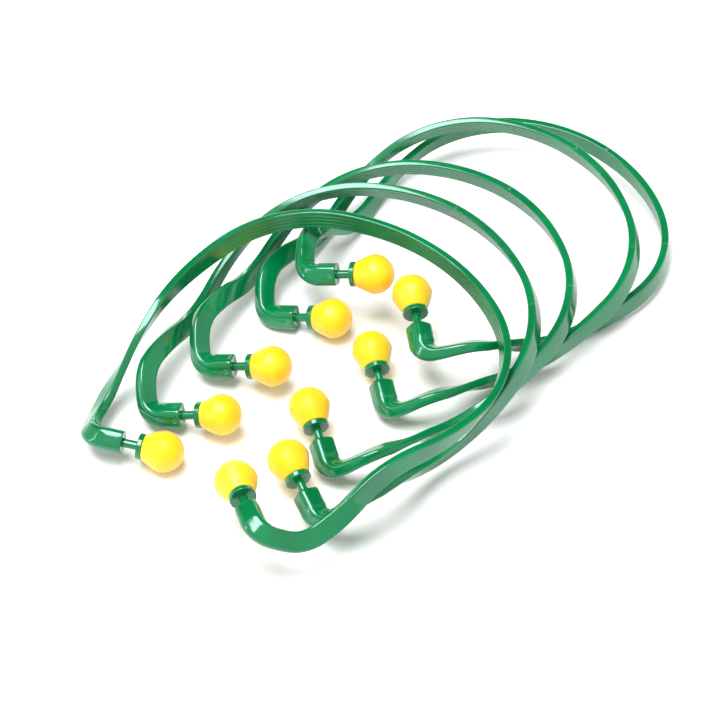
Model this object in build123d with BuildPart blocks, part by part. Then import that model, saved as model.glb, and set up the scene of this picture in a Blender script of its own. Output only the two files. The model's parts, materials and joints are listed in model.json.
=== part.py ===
"""A set of five banded hearing protectors, laid over one another on a table.

Each protector is one sprung plastic band, two ear-tip stems that turn in the
band's sockets, and a soft foam pod on each stem.  Millimetres, +Z up, the
origin on the table under the middle of the set.
"""
import os
from math import ceil

from build123d import *

os.makedirs("parts", exist_ok=True)

# ---- band -------------------------------------------------------------------
band_width = 6.8        # across the ribbon's broad face
band_thick = 2.6        # through the ribbon
edge_round = 0.5        # radius along the ribbon's four edges
elbow_thick = 4.4       # the ribbon has thickened to this where the elbow starts
thicken_from = 0.86     # and starts to thicken this far along its half
elbow_softening = 0.8   # its edges are this much rounder there
mark_radius = 0.9       # ball that presses the shallow round mould marks
mark_depth = 0.3

# ---- socket, stem and pod ----------------------------------------------------
socket_size = 7.6       # across the socket's flats
socket_round = 2.2      # its corner radius
mouth_round = 0.4
mark_from_mouth = 1.8   # the shallow mark on the socket's upper face
socket_length = 6.9     # from the end of the elbow to the open mouth
pin_radius = 1.5
running_gap = 0.05      # radial clearance of the pin in its socket
bore_depth = 5.5
end_gap = 0.3           # left under the pin's end
bead_height = 0.25      # ring that snaps into the socket's groove
bead_depth = 3.2        # from the mouth to the bead's middle
stem_length = 5.1       # bare pin between the socket and the flange
flange_radius = 4.4
flange_thick = 1.8
core_radius = 1.6       # the pin goes on into the pod this thick
core_length = 6.0
barb_height = 0.7
pod_radius = 7.0
pod_base_radius = 4.5   # where the pod meets the flange
pod_cone = 6.5          # from the flange's face to the pod's widest line
pod_ridge = 0.25        # height of the moulding ridge on the widest line

# ---- path of one half of a band ----------------------------------------------
# From the middle of the back to the elbow, one row for each stretch:
# length, turn inwards, turn upwards, lean outwards, in degrees over the stretch
half_band = [
    (36, 30, 3, 8),
    (45, 56, 15, 7),
    (29, 17, -2, -23),
    (24, 4, 38, -18),
    (17, -3, -14, -29),
    (11, -18, -44, 8),
    (6, 5, -8, 2),
]
elbow = (7.8, 66, -46, 0)
section_step = 6.0      # a section of the ribbon at least this often
most_turn = 18.0        # and at least this often round a bend, in degrees

# ---- how each protector lies --------------------------------------------------
# middle of the back (x, y, z), tilt about x and about y, heading, and for each
# half how far the sprung band is bent from its moulded shape: inwards and
# upwards over the back, and upwards over the arm
lying = [
    ((25.5, 27, 25), (3, 3, 140), True, (1, -6, -7), (-5, 2, 2)),
    ((34.5, 48, 25.5), (12, -12, 141), False, (0, 7, -6), (-5, -2, 3)),
    ((54.5, 63.5, 20.5), (6, -11, 134), False, (4, 6, -8), (-2, -7, 0)),
    ((80, 84.5, 22), (11, -11, 133), False, (3, 0, -1), (-1, 0, 1)),
    ((93, 98, 10), (6, 0, 136), False, (4, -12, 11), (6, -2, 4)),
]


def half_path(side, bend):
    """Stations from the middle of the back to the end of the elbow, on one side.

    Each is (middle, along, outward, upward, fraction of the way to the elbow).
    """
    back_in, back_up, arm_up = bend
    rows = [list(row) for row in half_band]
    for row in rows[0:2]:
        row[1] += back_in / 2
        row[2] += back_up / 2
    for row in rows[2:4]:
        row[2] += arm_up / 2
    ribbon = sum(row[0] for row in rows)
    here, along, outward, upward = Vector(0, 0, 0), Vector(1, 0, 0), Vector(0, -1, 0), Vector(0, 0, 1)
    stations, gone = [(here, along, outward, upward, 0.0)], 0.0
    for length, inwards, upwards, lean in rows + [list(elbow)]:
        steps = max(ceil(length / section_step), ceil(abs(inwards) / most_turn))
        for _ in range(steps):
            spin = (upward * inwards + outward * upwards - along * lean) / steps
            about = Axis((0, 0, 0), spin)
            here = here + along.rotate(about, spin.length / 2) * (length / steps)
            along, outward, upward = (v.rotate(about, spin.length) for v in (along, outward, upward))
            gone += length / steps
            stations.append((here, along, outward, upward, gone / ribbon))

    def on_side(v):
        return Vector(side * v.X, v.Y, v.Z)

    return [(on_side(p), on_side(a), on_side(o), on_side(u), f) for p, a, o, u, f in stations]


def section_size(fraction):
    """Thickness, width and corner radius of the band that far along its half."""
    ribbon = sum(row[0] for row in half_band)
    at_elbow = (elbow_thick, band_width, edge_round + elbow_softening)
    if fraction <= thicken_from:
        return band_thick, band_width, edge_round
    if fraction <= 1.0:
        start, end = (band_thick, band_width, edge_round), at_elbow
        grow = (fraction - thicken_from) / (1 - thicken_from)
    else:
        start, end = at_elbow, (socket_size, socket_size, socket_round)
        grow = (fraction - 1) * ribbon / elbow[0]
    return tuple(a + (b - a) * grow for a, b in zip(start, end))


# ---- the pieces, each made once about its own axis ----------------------------
# the stem's axis is Z, with the socket's mouth at zero and the pod above it
bead_at = -bead_depth
pod_foot = stem_length + flange_thick
core_top = pod_foot + core_length

with BuildPart() as stem:
    with BuildSketch(Plane.XZ):
        with BuildLine():
            Polyline(
                (0, end_gap - bore_depth), (pin_radius, end_gap - bore_depth),
                (pin_radius, bead_at - bead_height), (pin_radius + bead_height, bead_at),
                (pin_radius, bead_at + bead_height), (pin_radius, stem_length),
                (flange_radius, stem_length), (flange_radius, pod_foot),
                (core_radius, pod_foot), (core_radius, core_top - 2 * barb_height),
                (core_radius + barb_height, core_top - 2 * barb_height), (core_radius, core_top),
                (0, core_top), close=True)
        make_face()
    revolve(axis=Axis.Z)
    fillet(stem.edges().filter_by(GeomType.CIRCLE).filter_by(
        lambda e: abs(e.radius - flange_radius) < 1e-6), radius=0.3)

with BuildPart() as pod:
    widest = pod_foot + pod_cone
    with BuildSketch(Plane.XZ):
        with BuildLine():
            Polyline(
                (0, core_top), (core_radius, core_top),
                (core_radius + barb_height, core_top - 2 * barb_height),
                (core_radius, core_top - 2 * barb_height), (core_radius, pod_foot),
                (pod_base_radius, pod_foot), (pod_radius, widest - pod_ridge),
                (pod_radius + pod_ridge, widest), (pod_radius, widest + pod_ridge))
            JernArc((pod_radius, widest + pod_ridge), (0, 1), pod_radius, 90)
            Line((0, widest + pod_ridge + pod_radius), (0, core_top))
        make_face()
    revolve(axis=Axis.Z)

# the socket's axis is Z too, from the elbow up to its mouth at zero
with BuildPart() as socket:
    with BuildSketch(Plane.XY.offset(-socket_length)):
        RectangleRounded(socket_size, socket_size, socket_round)
    extrude(amount=socket_length)
    fillet(socket.faces().sort_by(Axis.Z)[-1].edges(), radius=mouth_round)
    with BuildSketch(Plane.XZ):
        with BuildLine():
            wall = pin_radius + running_gap
            Polyline(
                (0, -bore_depth), (wall, -bore_depth),
                (wall, bead_at - bead_height - running_gap), (wall + bead_height, bead_at - running_gap / 2),
                (wall + bead_height, bead_at + running_gap / 2), (wall, bead_at + bead_height + running_gap),
                (wall, 1), (0, 1), close=True)
        make_face()
    revolve(axis=Axis.Z, mode=Mode.SUBTRACT)
    for face_side in (-1, 1):
        with Locations((0, face_side * (socket_size / 2 + mark_radius - mark_depth), -mark_from_mouth)):
            Sphere(mark_radius, mode=Mode.SUBTRACT)


def build_band(left_bend, right_bend):
    """One band in its own frame, and the planes of its two socket mouths."""
    left, right = half_path(1, left_bend), half_path(-1, right_bend)
    with BuildPart() as ribbon:
        for run, way in ((reversed(right[1:]), -1), (left, 1)):
            for place, along, outward, upward, fraction in run:
                with BuildSketch(Plane(origin=place, x_dir=outward, z_dir=along * way)):
                    RectangleRounded(*section_size(fraction))
        loft()
    # each socket takes over from the ribbon at the flat end of its elbow
    skin = [face for face in ribbon.faces() if face.geom_type != GeomType.PLANE]
    mouths = []
    for place, along, outward, _, _ in (left[-1], right[-1]):
        mouth = Plane(origin=place + along * socket_length, x_dir=outward, z_dir=along)
        seated = mouth.location * socket.part
        skin += [face for face in seated.faces() if (face.center() - place).length > 0.5]
        mouths.append(mouth)
    return Solid(Shell(skin)), mouths


# ---- the five protectors, where they lie --------------------------------------
pieces = []
for number, (middle, tilt, flipped, left_bend, right_bend) in enumerate(lying, 1):
    band, mouths = build_band(left_bend, right_bend)
    place = Location(middle, tilt)
    if flipped:
        place = place * Location((0, 0, 0), (0, 180, 0))
    named = [(f"band_{number}", band, Location())]
    for side, mouth in zip(("left", "right"), mouths):
        named.append((f"stem_{side}_{number}", stem.part, mouth.location))
        named.append((f"pod_{side}_{number}", pod.part, mouth.location))
    for name, shape, where in named:
        with BuildPart() as piece:
            with Locations(place * where):
                add(shape)
        pieces.append((name, piece.part))

# the origin goes to the middle of the set, on the table
corners = [v for _, part in pieces for v in part.tessellate(0.05, 0.2)[0]]
low_x, high_x = min(v.X for v in corners), max(v.X for v in corners)
low_y, high_y = min(v.Y for v in corners), max(v.Y for v in corners)
to_origin = Location((-(low_x + high_x) / 2, -(low_y + high_y) / 2, -min(v.Z for v in corners)))
for name, part in pieces:
    part = to_origin * part
    part.label = name
    export_step(part, f"parts/{name}.step")
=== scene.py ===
"""Looks for a set of five banded hearing protectors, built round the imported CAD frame."""
import json
import math

import bmesh
import bpy
from mathutils import Matrix, Vector


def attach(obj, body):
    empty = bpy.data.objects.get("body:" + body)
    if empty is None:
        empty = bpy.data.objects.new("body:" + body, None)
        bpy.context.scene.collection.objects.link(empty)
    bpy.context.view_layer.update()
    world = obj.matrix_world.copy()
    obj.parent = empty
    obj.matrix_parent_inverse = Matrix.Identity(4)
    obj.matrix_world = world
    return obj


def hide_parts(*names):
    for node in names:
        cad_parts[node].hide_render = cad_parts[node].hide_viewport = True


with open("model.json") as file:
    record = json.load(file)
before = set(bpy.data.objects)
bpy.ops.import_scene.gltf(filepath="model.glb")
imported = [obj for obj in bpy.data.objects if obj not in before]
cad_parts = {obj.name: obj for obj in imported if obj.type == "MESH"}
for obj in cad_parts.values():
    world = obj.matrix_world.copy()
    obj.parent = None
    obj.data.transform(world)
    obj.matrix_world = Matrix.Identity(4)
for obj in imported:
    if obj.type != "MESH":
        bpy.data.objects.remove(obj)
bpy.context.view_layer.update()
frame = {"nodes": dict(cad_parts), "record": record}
record = frame["record"]
joints = {j["name"]: j for j in record["behaviour"]["joints"]}
MM = 0.001
X, Y, Z = Vector((1, 0, 0)), Vector((0, 1, 0)), Vector((0, 0, 1))

# ---- sizes of the moulded band, millimetres and degrees, as in the CAD ----------
BAND_WIDTH, BAND_THICK, EDGE_ROUND, ELBOW_THICK = 6.8, 2.6, 0.5, 4.4
THICKEN_FROM, ELBOW_SOFTENING = 0.86, 0.8
SOCKET_SIZE, SOCKET_ROUND, SOCKET_LENGTH, MOUTH_ROUND = 7.6, 2.2, 6.9, 0.4
BORE_RADIUS, BORE_DEPTH = 1.55, 5.0
POD_FOOT, POD_CONE, POD_BASE, POD_RADIUS, POD_RIDGE, CORE_RADIUS = 6.9, 6.5, 4.5, 7.0, 0.25, 1.6
HALF_BAND = [
    (36, 30, 3, 8), (45, 56, 15, 7), (29, 17, -2, -23), (24, 4, 38, -18),
    (17, -3, -14, -29), (11, -18, -44, 8), (6, 5, -8, 2),
]
ELBOW = (7.8, 66, -46, 0)
LYING = [
    ((25.5, 27, 25), (3, 3, 140), True, (1, -6, -7), (-5, 2, 2)),
    ((34.5, 48, 25.5), (12, -12, 141), False, (0, 7, -6), (-5, -2, 3)),
    ((54.5, 63.5, 20.5), (6, -11, 134), False, (4, 6, -8), (-2, -7, 0)),
    ((80, 84.5, 22), (11, -11, 133), False, (3, 0, -1), (-1, 0, 1)),
    ((93, 98, 10), (6, 0, 136), False, (4, -12, 11), (6, -2, 4)),
]
SECTION_STEP, MOST_TURN = 6.0, 18.0
FINER = 3               # sections of the visible band for each one of the CAD
UV_MM, UV_MIDDLE = 100, 2.0     # millimetres for one unit of UV, and u at the middle of the back
MARK_FROM_MOUTH = 1.8


def half_path(side, bend):
    """Stations (middle, along, outward, upward, fraction to the elbow, mm from the middle)."""
    back_in, back_up, arm_up = bend
    rows = [list(row) for row in HALF_BAND]
    for row in rows[0:2]:
        row[1] += back_in / 2
        row[2] += back_up / 2
    for row in rows[2:4]:
        row[2] += arm_up / 2
    ribbon = sum(row[0] for row in rows)
    here, along, outward, upward = Vector((0, 0, 0)), X.copy(), -Y, Z.copy()
    stations, gone = [(here, along, outward, upward, 0.0, 0.0)], 0.0
    for length, inwards, upwards, lean in rows + [list(ELBOW)]:
        steps = max(math.ceil(length / SECTION_STEP), math.ceil(abs(inwards) / MOST_TURN)) * FINER
        for _ in range(steps):
            spin = (upward * inwards + outward * upwards - along * lean) / steps
            angle = math.radians(spin.length)
            whole, half = Matrix.Rotation(angle, 3, spin), Matrix.Rotation(angle / 2, 3, spin)
            here = here + (half @ along) * (length / steps)
            along, outward, upward = whole @ along, whole @ outward, whole @ upward
            gone += length / steps
            stations.append((here, along, outward, upward, gone / ribbon, gone))

    def on_side(v):
        return Vector((side * v.x, v.y, v.z))

    return [(on_side(p), on_side(a), on_side(o), on_side(u), f, g) for p, a, o, u, f, g in stations]


def section_size(fraction):
    """Thickness, width, corner radius and groove depth of the band that far along."""
    ribbon = (BAND_THICK, BAND_WIDTH, EDGE_ROUND)
    at_elbow = (ELBOW_THICK, BAND_WIDTH, EDGE_ROUND + ELBOW_SOFTENING)
    grooves = min(1.0, max(0.0, (0.5 - fraction) / 0.12))
    if fraction <= THICKEN_FROM:
        return *ribbon, grooves
    if fraction <= 1.0:
        start, end = ribbon, at_elbow
        grow = (fraction - THICKEN_FROM) / (1 - THICKEN_FROM)
    else:
        start, end = at_elbow, (SOCKET_SIZE, SOCKET_SIZE, SOCKET_ROUND)
        grow = min(1.0, (fraction - 1) * sum(row[0] for row in HALF_BAND) / ELBOW[0])
    return *(a + (b - a) * grow for a, b in zip(start, end)), 0.0


# grooves across half the ribbon's flat width, taken as GROOVE_SPAN
GROOVES, GROOVE_SPAN = (-1.8, -0.6, 0.6, 1.8), 2.5
GROOVE_HALF, GROOVE_DEPTH = 0.28, 0.13


def section(thick, width, corner, groove):
    """Points (outward, upward) round the band, starting at the middle of the outer face."""
    points = []
    flat_t, flat_w = thick / 2 - corner, width / 2 - corner
    for quadrant, (st, sw) in enumerate(((1, 1), (-1, 1), (-1, -1), (1, -1))):
        if quadrant == 0:
            points += [(thick / 2, flat_w * t) for t in (0.0, 0.5)]
        for i in range(6):
            angle = math.radians(90 * quadrant + 18 * i)
            points.append((st * flat_t + corner * math.cos(angle), sw * flat_w + corner * math.sin(angle)))
        if quadrant == 0 or quadrant == 2:
            points.append((0.0, sw * width / 2))
        if quadrant == 1:
            # grooves along the inner face
            for centre in reversed(GROOVES):
                middle = centre / GROOVE_SPAN * flat_w
                for step, deep in ((GROOVE_HALF, 0), (0.0, GROOVE_DEPTH), (-GROOVE_HALF, 0)):
                    points.append((-thick / 2 + deep * groove, middle + step * flat_w / GROOVE_SPAN))
        if quadrant == 3:
            points.append((thick / 2, -flat_w * 0.5))
    return points


def finish_mesh(name, mesh_maker, material, body, replaced):
    """Turns a bmesh into a smooth shaded piece that rides on a body."""
    mesh = bpy.data.meshes.new(name)
    mesh_maker.to_mesh(mesh)
    mesh_maker.free()
    for face in mesh.polygons:
        face.use_smooth = True
    piece = bpy.data.objects.new(name, mesh)
    bpy.context.collection.objects.link(piece)
    mesh.materials.append(material)
    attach(piece, body)
    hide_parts(replaced)
    return piece


def pull_ring(bm, ring):
    """Extrudes a closed ring of vertices once; returns the new ring and the new faces."""
    count = len(ring)
    edges = [bm.edges.get((ring[i], ring[(i + 1) % count])) for i in range(count)]
    made = bmesh.ops.extrude_edge_only(bm, edges=edges)["geom"]
    fresh = {v for v in made if isinstance(v, bmesh.types.BMVert)}
    follows = {}
    for v in fresh:
        for edge in v.link_edges:
            if edge.other_vert(v) not in fresh:
                follows[edge.other_vert(v)] = v
    return [follows[v] for v in ring], [f for f in made if isinstance(f, bmesh.types.BMFace)]


def band_skin(number, place, shift, lying, material):
    """The whole moulded band: one section pulled along from mouth to mouth."""
    _, _, _, left_bend, right_bend = lying
    left, right = half_path(1, left_bend), half_path(-1, right_bend)
    bm = bmesh.new()
    uv = bm.loops.layers.uv.new("along_and_round")
    stations = []
    for path, way in ((list(reversed(right))[:-1], -1), (left, 1)):
        for middle, along, outward, upward, fraction, gone in path:
            stations.append((middle, along, outward, upward, section_size(fraction), gone * way))

    def on_socket(end, way):
        middle, along, outward, upward, _, gone = end
        round_out = [(SOCKET_LENGTH * t, 0.0) for t in (0.25, 0.5, 0.75)]
        round_out += [(SOCKET_LENGTH - MOUTH_ROUND * (1 - math.sin(math.radians(a))),
                       MOUTH_ROUND * (1 - math.cos(math.radians(a)))) for a in (0, 22, 45, 67, 90)]
        return [(middle + along * run, along, outward, upward,
                 (SOCKET_SIZE - 2 * cut, SOCKET_SIZE - 2 * cut, SOCKET_ROUND - cut, 0.0), gone + run * way)
                for run, cut in round_out]

    stations = (list(reversed(on_socket((*right[-1][:5], -right[-1][5]), -1)))
                + stations + on_socket((*left[-1][:5], left[-1][5]), 1))
    ribbon_ring = section(BAND_THICK, BAND_WIDTH, EDGE_ROUND, 0)
    around = [math.hypot(b[0] - a[0], b[1] - a[1])
              for a, b in zip(ribbon_ring, ribbon_ring[1:] + ribbon_ring[:1])]
    walked = [sum(around[:i]) for i in range(len(around) + 1)]

    def put(verts, station):
        middle, _, outward, upward, size, _ = station
        for v, (o, u) in zip(verts, section(*size)):
            v.co = place @ (middle + outward * o + upward * u) * MM + shift

    count = len(section(*stations[0][4]))
    ring = bmesh.ops.create_circle(bm, segments=count, radius=1.0)["verts"]
    put(ring, stations[0])
    first, along_now = list(ring), stations[0][5]
    for station in stations[1:]:
        following, faces = pull_ring(bm, ring)
        put(following, station)
        order = {v: (i, along_now) for i, v in enumerate(ring)}
        order.update({v: (i, station[5]) for i, v in enumerate(following)})
        for face in faces:
            last = {order[v][0] for v in face.verts} == {0, count - 1}
            for loop in face.loops:
                index, row = order[loop.vert]
                loop[uv].uv = (row / UV_MM + UV_MIDDLE, walked[count if last and index == 0 else index] / UV_MM)
        ring, along_now = following, station[5]
    # the flat mouth and the blind hole for the stem, at both ends
    for loop_verts, path in ((first, right), (ring, left)):
        middle, along, outward, upward, _, _ = path[-1]
        mouth_size = SOCKET_SIZE - 2 * MOUTH_ROUND
        flat = section(mouth_size, mouth_size, SOCKET_ROUND - MOUTH_ROUND, 0)
        current = loop_verts
        for radius, deep in ((BORE_RADIUS + 0.12, 0), (BORE_RADIUS, 0.12), (BORE_RADIUS, BORE_DEPTH)):
            following, _ = pull_ring(bm, current)
            for v, (o, u) in zip(following, flat):
                far = math.hypot(o, u)
                spot = middle + along * (SOCKET_LENGTH - deep) + (outward * o + upward * u) * (radius / far)
                v.co = place @ spot * MM + shift
            current = following
        bmesh.ops.contextual_create(bm, geom=[bm.edges.get((current[i], current[(i + 1) % count]))
                                              for i in range(count)])
    bmesh.ops.recalc_face_normals(bm, faces=bm.faces)
    sharp = [e for e in bm.edges if len(e.link_faces) == 2 and e.calc_face_angle(0) > math.radians(50)]
    for e in sharp:
        e.smooth = False
    return finish_mesh(f"moulded_band_{number}", bm, material,
                       f"protector_{number}", f"band_{number}")


def foam_pod(number, side, material):
    """A foam pod: its outline spun about the stem, with the moulding ridge on its widest line."""
    joint = joints[f"turn_{side}_{number}"]
    foot, axis = Vector(joint["pos_m"]), Vector(joint["axis"]).normalized()
    turn = Z.rotation_difference(axis).to_matrix().to_4x4()
    bm = bmesh.new()
    outline = [(CORE_RADIUS, 0.0), (POD_BASE - 0.7, 0.0), (POD_BASE - 0.2, 0.12), (POD_BASE, 0.5)]
    for t in (0.15, 0.3, 0.45, 0.6, 0.75, 0.88, 0.955):
        bulge = 0.22 * math.sin(math.pi * t)
        outline.append((POD_BASE + (POD_RADIUS - POD_BASE) * t + bulge, 0.5 + (POD_CONE - 0.75) * t))
    outline += [(POD_RADIUS - 0.02, POD_CONE - 0.24), (POD_RADIUS + 0.08, POD_CONE - 0.1),
                (POD_RADIUS + 0.09, POD_CONE + 0.06), (POD_RADIUS - 0.01, POD_CONE + 0.22)]
    for angle in range(5, 91, 5):
        round_up = math.radians(angle)
        outline.append((POD_RADIUS * math.cos(round_up), POD_CONE + POD_RIDGE + POD_RADIUS * math.sin(round_up)))
    outline[-1] = (0.0, outline[-1][1])
    verts = [bm.verts.new((r * MM, 0, (POD_FOOT + h) * MM)) for r, h in outline]
    edges = [bm.edges.new(pair) for pair in zip(verts, verts[1:])]
    bmesh.ops.spin(bm, geom=verts + edges, cent=(0, 0, 0), axis=(0, 0, 1), dvec=(0, 0, 0),
                   angle=math.radians(360), steps=72, use_merge=True, use_duplicate=False)
    bmesh.ops.remove_doubles(bm, verts=bm.verts, dist=1e-6)
    rim = [e for e in bm.edges if e.is_boundary]
    if rim:
        bmesh.ops.contextual_create(bm, geom=rim)
    # soft foam never comes out of its mould quite true
    for v in bm.verts:
        a = math.atan2(v.co.y, v.co.x)
        h = v.co.z / MM - POD_FOOT
        soft = 1 + 0.004 * math.sin(2 * a + number) + 0.003 * math.sin(3 * a + 2 * number + h * 0.5)
        v.co.x *= soft
        v.co.y *= soft
    bmesh.ops.recalc_face_normals(bm, faces=bm.faces)
    bmesh.ops.transform(bm, matrix=Matrix.Translation(foot) @ turn, verts=bm.verts)
    pod = finish_mesh(f"foam_pod_{side}_{number}", bm, material,
                      f"tip_{side}_{number}", f"pod_{side}_{number}")
    return pod


# ---- materials --------------------------------------------------------------------
def new_material(name):
    material = bpy.data.materials.new(name)
    material.use_nodes = True
    nodes, links = material.node_tree.nodes, material.node_tree.links
    shader = nodes["Principled BSDF"]
    return material, nodes, links, shader


def moulding_group():
    """Height and tone of a moulded surface: faint flow waviness and fine scuffs."""
    group = bpy.data.node_groups.new("moulded_surface", "ShaderNodeTree")
    for name, kind in (("Vector", "NodeSocketVector"), ("Wave Scale", "NodeSocketFloat"),
                       ("Scuff Scale", "NodeSocketFloat")):
        group.interface.new_socket(name, in_out="INPUT", socket_type=kind)
    for name in ("Height", "Tone", "Scuffs"):
        group.interface.new_socket(name, in_out="OUTPUT", socket_type="NodeSocketFloat")
    n, l = group.nodes, group.links
    inp, out = n.new("NodeGroupInput"), n.new("NodeGroupOutput")
    wave, scuff = n.new("ShaderNodeTexNoise"), n.new("ShaderNodeTexNoise")
    wave.inputs["Detail"].default_value = 1.0
    scuff.inputs["Detail"].default_value = 6.0
    scuff.inputs["Roughness"].default_value = 0.65
    l.new(inp.outputs["Vector"], wave.inputs["Vector"])
    l.new(inp.outputs["Vector"], scuff.inputs["Vector"])
    l.new(inp.outputs["Wave Scale"], wave.inputs["Scale"])
    l.new(inp.outputs["Scuff Scale"], scuff.inputs["Scale"])
    l.new(wave.outputs["Fac"], out.inputs["Height"])
    l.new(wave.outputs["Fac"], out.inputs["Tone"])
    l.new(scuff.outputs["Fac"], out.inputs["Scuffs"])
    return group


def ramp(nodes, stops):
    node = nodes.new("ShaderNodeValToRGB")
    elements = node.color_ramp.elements
    elements[0].position, elements[0].color = stops[0]
    elements[1].position, elements[1].color = stops[-1]
    for position, color in stops[1:-1]:
        e = elements.new(position)
        e.color = color
    return node


def mark_group():
    """A round mark pressed into the moulding: 1 inside it, 0 outside, with a soft edge between, where the band
    material paints a highlight.
    """
    group = bpy.data.node_groups.new("mould_mark", "ShaderNodeTree")
    for name, kind in (("UV", "NodeSocketVector"), ("Centre", "NodeSocketVector"),
                       ("Stretch", "NodeSocketVector"), ("Radius", "NodeSocketFloat")):
        group.interface.new_socket(name, in_out="INPUT", socket_type=kind)
    group.interface.new_socket("Mask", in_out="OUTPUT", socket_type="NodeSocketFloat")
    n, l = group.nodes, group.links
    inp, out = n.new("NodeGroupInput"), n.new("NodeGroupOutput")
    offset, scaled, length = (n.new("ShaderNodeVectorMath") for _ in range(3))
    offset.operation, scaled.operation, length.operation = "SUBTRACT", "MULTIPLY", "LENGTH"
    ratio = n.new("ShaderNodeMath")
    ratio.operation = "DIVIDE"
    edge = n.new("ShaderNodeMapRange")
    edge.interpolation_type = "SMOOTHSTEP"
    edge.inputs["From Min"].default_value, edge.inputs["From Max"].default_value = 0.75, 1.0
    edge.inputs["To Min"].default_value, edge.inputs["To Max"].default_value = 1.0, 0.0
    l.new(inp.outputs["UV"], offset.inputs[0])
    l.new(inp.outputs["Centre"], offset.inputs[1])
    l.new(offset.outputs[0], scaled.inputs[0])
    l.new(inp.outputs["Stretch"], scaled.inputs[1])
    l.new(scaled.outputs[0], length.inputs[0])
    l.new(length.outputs["Value"], ratio.inputs[0])
    l.new(inp.outputs["Radius"], ratio.inputs[1])
    l.new(ratio.outputs["Value"], edge.inputs["Value"])
    l.new(edge.outputs["Result"], out.inputs["Mask"])
    return group


moulded = moulding_group()
pressed = mark_group()
GREEN_DEEP, GREEN, GREEN_PALE = (0.0, 0.135, 0.036, 1), (0.0, 0.165, 0.046, 1), (0.0, 0.195, 0.058, 1)
# the rim colour is painted highlight, a paler green for the rims of the mould marks
GREEN_RIM_HIGHLIGHT = (0.1, 0.5, 0.28, 1)
YELLOW_DEEP, YELLOW, YELLOW_PALE = (0.93, 0.53, 0.0, 1), (0.96, 0.58, 0.0, 1), (0.99, 0.62, 0.003, 1)


TOP_EDGE = 0.0450        # UV height of the middle of the upper edge
SOCKET_MARK = (sum(row[0] for row in HALF_BAND) + ELBOW[0] + SOCKET_LENGTH - MARK_FROM_MOUTH) / UV_MM
MARKS = [
    ((UV_MIDDLE, TOP_EDGE, 0), (1, 1, 0), 0.0065),
    ((1.47, TOP_EDGE, 0), (1, 0.15, 0), 0.003),
    ((UV_MIDDLE + SOCKET_MARK, TOP_EDGE, 0), (1, 2, 0), 0.009),
    ((UV_MIDDLE - SOCKET_MARK, TOP_EDGE, 0), (1, 2, 0), 0.009),
]


def green_plastic(name, marks):
    material, nodes, links, shader = new_material(name)
    where = nodes.new("ShaderNodeTexCoord")
    surface = nodes.new("ShaderNodeGroup")
    surface.node_tree = moulded
    surface.inputs["Wave Scale"].default_value = 60.0
    surface.inputs["Scuff Scale"].default_value = 420.0
    links.new(where.outputs["Object"], surface.inputs["Vector"])
    tone = ramp(nodes, [(0.3, GREEN_DEEP), (0.5, GREEN), (0.72, GREEN_PALE)])
    links.new(surface.outputs["Tone"], tone.inputs["Fac"])
    links.new(tone.outputs["Color"], shader.inputs["Base Color"])
    rough = nodes.new("ShaderNodeMapRange")
    rough.inputs["From Min"].default_value, rough.inputs["From Max"].default_value = 0.35, 0.75
    rough.inputs["To Min"].default_value, rough.inputs["To Max"].default_value = 0.08, 0.2
    links.new(surface.outputs["Scuffs"], rough.inputs["Value"])
    links.new(rough.outputs["Result"], shader.inputs["Roughness"])
    bump = nodes.new("ShaderNodeBump")
    bump.inputs["Strength"].default_value = 0.1
    bump.inputs["Distance"].default_value = 0.0005
    links.new(surface.outputs["Height"], bump.inputs["Height"])
    last_normal = bump.outputs["Normal"]
    if marks:
        # a dot at the middle of the back, a weld line beside it, a dot by each socket's mouth
        uv = nodes.new("ShaderNodeUVMap")
        uv.uv_map = "along_and_round"
        total = None
        for centre, stretch, radius in MARKS:
            mark = nodes.new("ShaderNodeGroup")
            mark.node_tree = pressed
            mark.inputs["Centre"].default_value = centre
            mark.inputs["Stretch"].default_value = stretch
            mark.inputs["Radius"].default_value = radius
            links.new(uv.outputs["UV"], mark.inputs["UV"])
            if total is None:
                total = mark.outputs["Mask"]
                continue
            joined = nodes.new("ShaderNodeMath")
            joined.operation = "MAXIMUM"
            links.new(total, joined.inputs[0])
            links.new(mark.outputs["Mask"], joined.inputs[1])
            total = joined.outputs["Value"]
        # painted highlight: a paler green painted on the rims of the marks, where light gathers, and faintly
        # inside them
        rim_highlight_mix = nodes.new("ShaderNodeMix")
        rim_highlight_mix.data_type = "RGBA"
        rim_highlight_mix.inputs["B"].default_value = GREEN_RIM_HIGHLIGHT
        weight = ramp(nodes, [(0.0, (0, 0, 0, 1)), (0.5, (1, 1, 1, 1)), (1.0, (0.15, 0.15, 0.15, 1))])
        links.new(total, weight.inputs["Fac"])
        links.new(weight.outputs["Color"], rim_highlight_mix.inputs["Factor"])
        links.new(tone.outputs["Color"], rim_highlight_mix.inputs["A"])
        links.new(rim_highlight_mix.outputs["Result"], shader.inputs["Base Color"])
        dent = nodes.new("ShaderNodeBump")
        dent.invert = True
        dent.inputs["Strength"].default_value = 1.0
        dent.inputs["Distance"].default_value = 0.0003
        links.new(total, dent.inputs["Height"])
        links.new(last_normal, dent.inputs["Normal"])
        last_normal = dent.outputs["Normal"]
    links.new(last_normal, shader.inputs["Normal"])
    shader.inputs["IOR"].default_value = 1.72
    shader.inputs["Specular Tint"].default_value = (0.74, 0.9, 1.0, 1)
    return material


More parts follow.
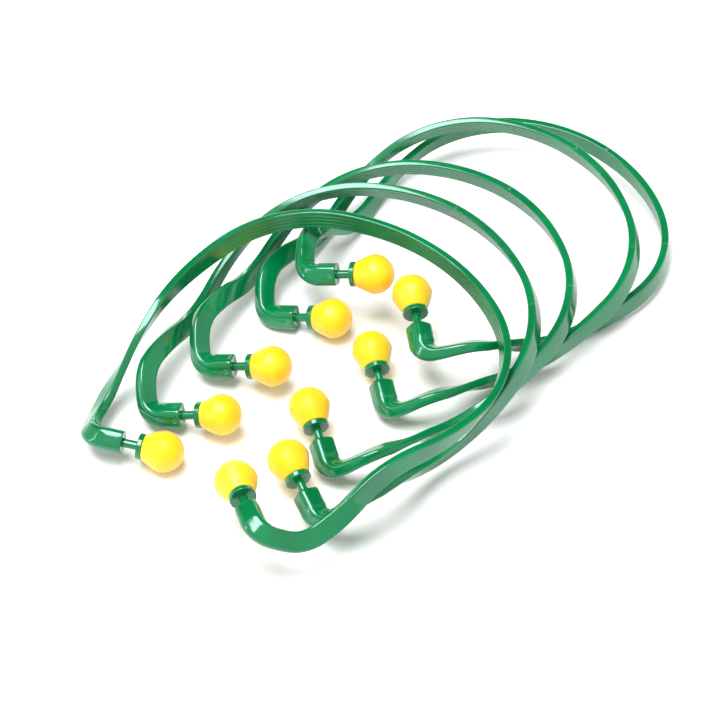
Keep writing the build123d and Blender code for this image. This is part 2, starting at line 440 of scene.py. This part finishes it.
def pod_foam():
    material, nodes, links, shader = new_material("pod_foam")
    where = nodes.new("ShaderNodeTexCoord")
    cells = nodes.new("ShaderNodeTexNoise")
    cells.inputs["Scale"].default_value = 2600.0
    cells.inputs["Detail"].default_value = 3.0
    cloud = nodes.new("ShaderNodeTexNoise")
    cloud.inputs["Scale"].default_value = 170.0
    cloud.inputs["Detail"].default_value = 2.0
    links.new(where.outputs["Object"], cells.inputs["Vector"])
    links.new(where.outputs["Object"], cloud.inputs["Vector"])
    tone = ramp(nodes, [(0.3, YELLOW_DEEP), (0.55, YELLOW), (0.75, YELLOW_PALE)])
    links.new(cloud.outputs["Fac"], tone.inputs["Fac"])
    links.new(tone.outputs["Color"], shader.inputs["Base Color"])
    rough = nodes.new("ShaderNodeMapRange")
    rough.inputs["To Min"].default_value, rough.inputs["To Max"].default_value = 0.28, 0.46
    links.new(cells.outputs["Fac"], rough.inputs["Value"])
    links.new(rough.outputs["Result"], shader.inputs["Roughness"])
    bump = nodes.new("ShaderNodeBump")
    bump.inputs["Strength"].default_value = 0.35
    bump.inputs["Distance"].default_value = 0.0001
    links.new(cells.outputs["Fac"], bump.inputs["Height"])
    links.new(bump.outputs["Normal"], shader.inputs["Normal"])
    shader.inputs["Subsurface Weight"].default_value = 0.15
    shader.inputs["Subsurface Radius"].default_value = (0.004, 0.0025, 0.0005)
    shader.inputs["Sheen Weight"].default_value = 0.15
    return material


band_material = green_plastic("band_plastic", True)
stem_material = green_plastic("stem_plastic", False)
foam_material = pod_foam()

# ---- the five protectors -----------------------------------------------------------
for number, lying in enumerate(LYING, 1):
    middle, tilt, flipped, left_bend, right_bend = lying
    ax, ay, az = (math.radians(a) for a in tilt)
    place = (Matrix.Translation(middle) @ Matrix.Rotation(ax, 4, "X")
             @ Matrix.Rotation(ay, 4, "Y") @ Matrix.Rotation(az, 4, "Z"))
    if flipped:
        place = place @ Matrix.Rotation(math.pi, 4, "Y")
    end = half_path(1, left_bend)[-1]
    mouth = place @ (end[0] + end[1] * SOCKET_LENGTH) * MM
    shift = Vector(joints[f"turn_left_{number}"]["pos_m"]) - mouth
    band_skin(number, place, shift, lying, band_material)
    for side in ("left", "right"):
        foam_pod(number, side, foam_material)
        node = frame["nodes"][f"stem_{side}_{number}"]
        node.data.materials.clear()
        node.data.materials.append(stem_material)
        for face in node.data.polygons:
            face.material_index = 0

# ---- table, light and camera ---------------------------------------------------------
def flat_sheet(name, size, place, towards, color):
    """A flat stage sheet of (width, depth) that faces a point."""
    bm = bmesh.new()
    bmesh.ops.create_grid(bm, x_segments=1, y_segments=1, size=0.5)
    bmesh.ops.scale(bm, vec=(size[0], size[1], 1), verts=bm.verts)
    facing = (Vector(towards) - Vector(place)).to_track_quat("Z", "Y").to_matrix().to_4x4()
    bmesh.ops.transform(bm, matrix=Matrix.Translation(place) @ facing, verts=bm.verts)
    mesh = bpy.data.meshes.new(name)
    bm.to_mesh(mesh)
    bm.free()
    sheet = bpy.data.objects.new(name, mesh)
    bpy.context.collection.objects.link(sheet)
    material, _, _, shader = new_material(f"{name}_finish")
    shader.inputs["Base Color"].default_value = (color, color, color, 1)
    shader.inputs["Roughness"].default_value = 0.7
    mesh.materials.append(material)


flat_sheet("table_top", (6.0, 6.0), (0, 0, 0), (0, 0, 1), 0.93)
# a dark card keeps the light ceiling out of the bands' upper edges
flat_sheet("dark_card", (2.6, 1.1), (0, 0.78, 0.85), (0, 0, 0), 0.02)

world = bpy.data.worlds.new("studio")
bpy.context.scene.world = world
world.use_nodes = True
world.node_tree.nodes["Background"].inputs["Color"].default_value = (1, 1, 1, 1)
world.node_tree.nodes["Background"].inputs["Strength"].default_value = 0.75


def softbox(name, place, towards, size, power):
    data = bpy.data.lights.new(name, "AREA")
    data.shape, data.size, data.size_y, data.energy = "RECTANGLE", size[0], size[1], power
    light = bpy.data.objects.new(name, data)
    bpy.context.collection.objects.link(light)
    light.location = place
    light.rotation_euler = (Vector(towards) - Vector(place)).to_track_quat("-Z", "Y").to_euler()
    return light


softbox("overhead_softbox", (-0.25, -0.1, 1.2), (0, 0, 0), (0.9, 0.7), 22.0)
softbox("back_strip", (0, 1.3, 0.16), (0, 0, 0), (2.4, 0.16), 5.0)
softbox("left_strip", (-1.2, -0.3, 0.3), (0, 0, 0), (0.14, 1.2), 3.0)

camera_data = bpy.data.cameras.new("studio_camera")
camera = bpy.data.objects.new("studio_camera", camera_data)
bpy.context.collection.objects.link(camera)
ELEVATION, DISTANCE, FIELD = math.radians(46.17), 0.6911, math.radians(20.58)
LOOK_AT = Vector((-10.35, -10.54, 2.5)) * MM
camera.location = LOOK_AT + Vector((0, -math.cos(ELEVATION), math.sin(ELEVATION))) * DISTANCE
camera.rotation_euler = (math.radians(90) - ELEVATION, 0, 0)
camera_data.sensor_fit = "HORIZONTAL"
camera_data.angle = FIELD
camera_data.clip_start = 0.01
bpy.context.scene.camera = camera
bpy.context.scene.view_settings.view_transform = "Standard"
